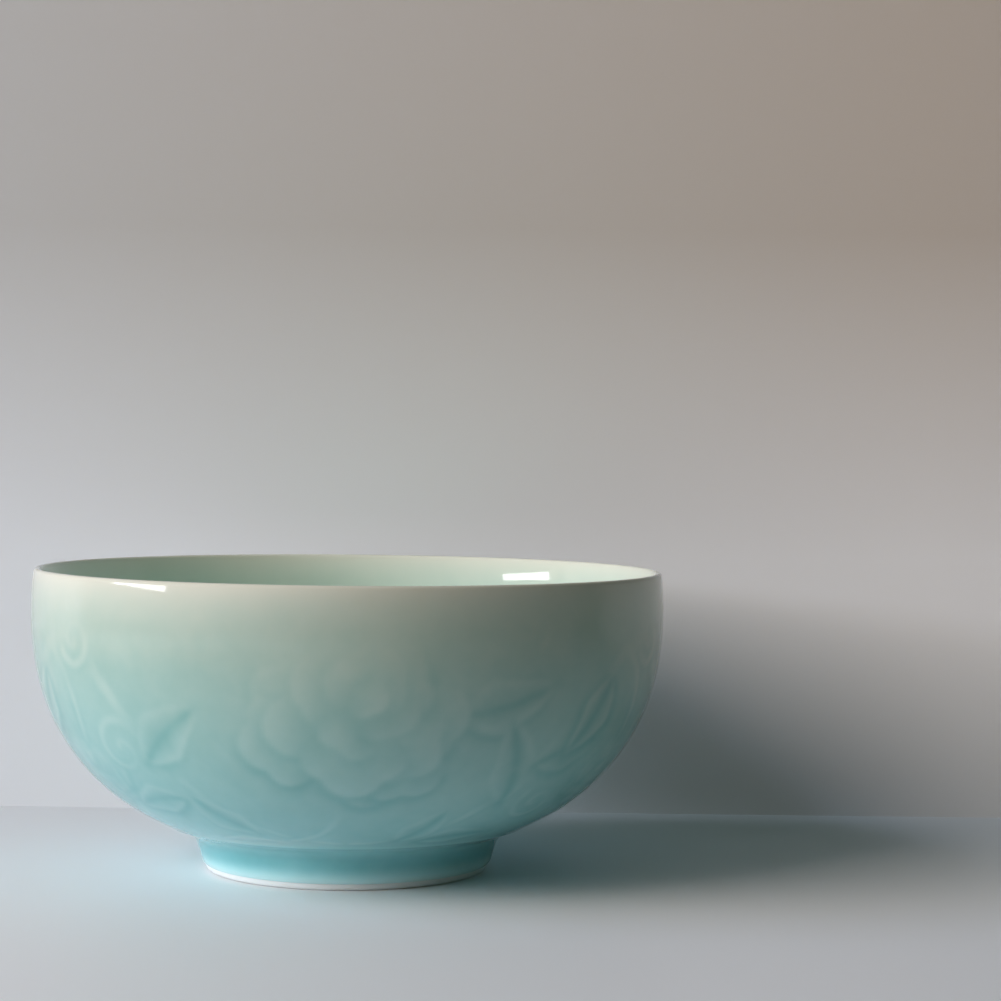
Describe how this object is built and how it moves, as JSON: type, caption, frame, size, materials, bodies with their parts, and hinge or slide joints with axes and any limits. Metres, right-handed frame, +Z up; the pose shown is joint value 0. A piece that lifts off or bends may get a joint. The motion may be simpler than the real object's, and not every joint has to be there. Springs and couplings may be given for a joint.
{
  "type": "rice bowl",
  "caption": "Small round porcelain rice bowl with a full belly, rounded lip and turned foot ring, carved in low relief under a pale green celadon glaze.",
  "frame": {"origin": "on the table, under the middle of the bowl: the bowl's axis meets the plane that the foot ring stands on", "axes": "+Z up along the bowl's axis, out of its mouth; +X and +Y any two square directions across the bowl"},
  "size_m": [0.1164, 0.1164, 0.0555],
  "materials": {
    "porcelain": "matte",
    "bare_foot": "matte",
    "outer_celadon": "gloss",
    "inner_celadon": "gloss",
    "recess_celadon": "gloss"
  },
  "bodies": {
    "root": {"bowl_body": "porcelain", "foot_ring": "bare_foot", "outer_glaze": "outer_celadon", "inner_glaze": "inner_celadon", "recess_glaze": "recess_celadon"}
  },
  "joints": []
}
